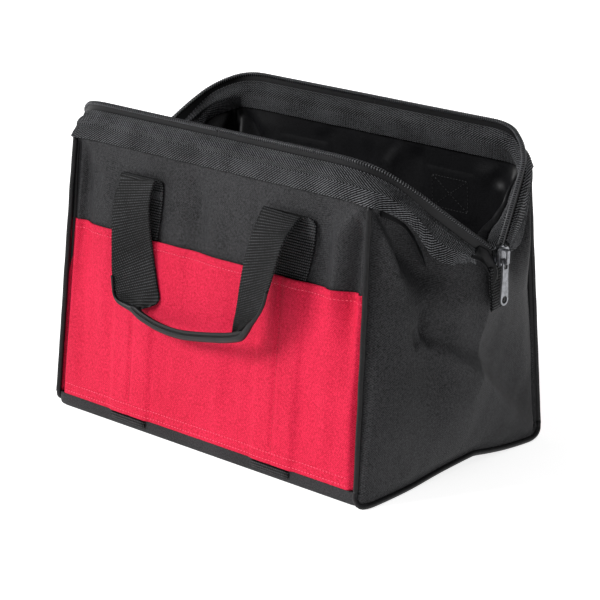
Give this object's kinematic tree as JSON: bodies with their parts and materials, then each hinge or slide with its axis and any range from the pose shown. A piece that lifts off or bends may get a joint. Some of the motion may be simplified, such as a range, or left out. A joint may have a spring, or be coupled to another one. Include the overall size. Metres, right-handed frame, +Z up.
{
  "type": "zippered tool bag",
  "caption": "Open-mouth tool bag with a wire-framed zip mouth, webbing band, flat sewn pockets, corner piping and hanging webbing handles.",
  "frame": {"origin": "under the middle of the bag, on the plane it stands on", "axes": "+X towards the end with the slider, -Y out of the front, +Z up"},
  "size_m": [0.4138, 0.251, 0.2525],
  "materials": {
    "body_cloth": "matte woven polyester",
    "pocket_cloth": "matte woven polyester",
    "strap_webbing": "ribbed webbing",
    "band_webbing": "herringbone webbing",
    "piping": "smooth binding",
    "zip_tape": "fine woven tape",
    "zip_coil": "satin",
    "wire_steel": "drawn wire",
    "zip_metal": "dark plated",
    "board": "matte"
  },
  "bodies": {
    "base": {"bottom_panel": "body_cloth", "base_board": "board", "left_end_panel": "body_cloth", "left_end_gusset": "body_cloth", "left_base_piping": "piping", "left_under_strap": "strap_webbing", "right_end_panel": "body_cloth", "right_end_gusset": "body_cloth", "right_base_piping": "piping", "right_under_strap": "strap_webbing"},
    "front_wall": {"front_panel": "body_cloth", "front_pocket": "pocket_cloth", "front_band": "band_webbing", "front_left_strap": "strap_webbing", "front_left_piping": "piping", "front_left_patch": "body_cloth", "front_left_fold": "strap_webbing", "front_right_strap": "strap_webbing", "front_right_piping": "piping", "front_right_patch": "body_cloth", "front_right_fold": "strap_webbing"},
    "front_frame": {"front_wire": "wire_steel", "front_zip_tape": "zip_tape", "front_zip_coil": "zip_coil", "front_left_arm_band": "band_webbing", "front_right_arm_band": "band_webbing"},
    "front_handle": {"front_left_handle_strap": "strap_webbing", "front_right_handle_strap": "strap_webbing", "front_handle_grip": "body_cloth"},
    "rear_wall": {"rear_panel": "body_cloth", "rear_pocket": "pocket_cloth", "rear_band": "band_webbing", "rear_left_strap": "strap_webbing", "rear_left_piping": "piping", "rear_left_patch": "body_cloth", "rear_left_fold": "strap_webbing", "rear_right_strap": "strap_webbing", "rear_right_piping": "piping", "rear_right_patch": "body_cloth", "rear_right_fold": "strap_webbing"},
    "rear_frame": {"rear_wire": "wire_steel", "rear_zip_tape": "zip_tape", "rear_zip_coil": "zip_coil", "rear_left_arm_band": "band_webbing", "rear_right_arm_band": "band_webbing"},
    "rear_handle": {"rear_left_handle_strap": "strap_webbing", "rear_right_handle_strap": "strap_webbing", "rear_handle_grip": "body_cloth"},
    "right_tail": {"slider_body": "zip_metal", "right_zip_tab": "strap_webbing"},
    "left_tail": {"left_zip_tab": "strap_webbing", "left_zip_stop": "zip_metal"},
    "puller": {"slider_puller": "zip_metal"}
  },
  "joints": [
    {"name": "front_wall_lean", "type": "hinge", "parent": "base", "child": "front_wall", "pos_m": [0, -0.10792, 0.011], "axis": [-1, 0, 0], "range_deg": [0, 19.92], "deforming": ["left_end_gusset", "right_end_gusset"]},
    {"name": "front_frame_fold", "type": "hinge", "parent": "front_wall", "child": "front_frame", "pos_m": [0, -0.08862, 0.238], "axis": [-1, 0, 0], "range_deg": [0, 30.88], "deforming": ["front_zip_tape", "front_zip_coil"]},
    {"name": "front_handle_swing", "type": "hinge", "parent": "front_wall", "child": "front_handle", "pos_m": [0, -0.09916, 0.1989], "axis": [-1, 0, 0], "range_deg": [0, 160], "deforming": ["front_left_fold", "front_right_fold"]},
    {"name": "rear_wall_lean", "type": "hinge", "parent": "base", "child": "rear_wall", "pos_m": [0, 0.10792, 0.011], "axis": [1, 0, 0], "range_deg": [0, 19.97]},
    {"name": "rear_frame_fold", "type": "hinge", "parent": "rear_wall", "child": "rear_frame", "pos_m": [0, 0.08862, 0.238], "axis": [1, 0, 0], "range_deg": [0, 30.88], "deforming": ["rear_zip_tape", "rear_zip_coil"]},
    {"name": "rear_handle_swing", "type": "hinge", "parent": "rear_wall", "child": "rear_handle", "pos_m": [0, 0.09916, 0.1989], "axis": [1, 0, 0], "range_deg": [0, 160], "deforming": ["rear_left_fold", "rear_right_fold"]},
    {"name": "right_tail_drop", "type": "slide", "parent": "base", "child": "right_tail", "axis": [0, 0, -1], "range_m": [0, 0.0652]},
    {"name": "left_tail_drop", "type": "slide", "parent": "base", "child": "left_tail", "axis": [0, 0, -1], "range_m": [0, 0.0652]},
    {"name": "puller_swing", "type": "hinge", "parent": "right_tail", "child": "puller", "pos_m": [0.206, 0, 0.17413], "axis": [0, -1, 0], "range_deg": [0, 140]}
  ],
  "couplings": [
    {"joint": "rear_wall_lean", "follows": "front_wall_lean", "ratio": 1},
    {"joint": "front_frame_fold", "follows": "front_wall_lean", "ratio": 1.5397},
    {"joint": "rear_frame_fold", "follows": "front_wall_lean", "ratio": 1.5397},
    {"joint": "right_tail_drop", "follows": "front_wall_lean", "m_per_rad": 0.18616},
    {"joint": "left_tail_drop", "follows": "front_wall_lean", "m_per_rad": 0.18616}
  ]
}
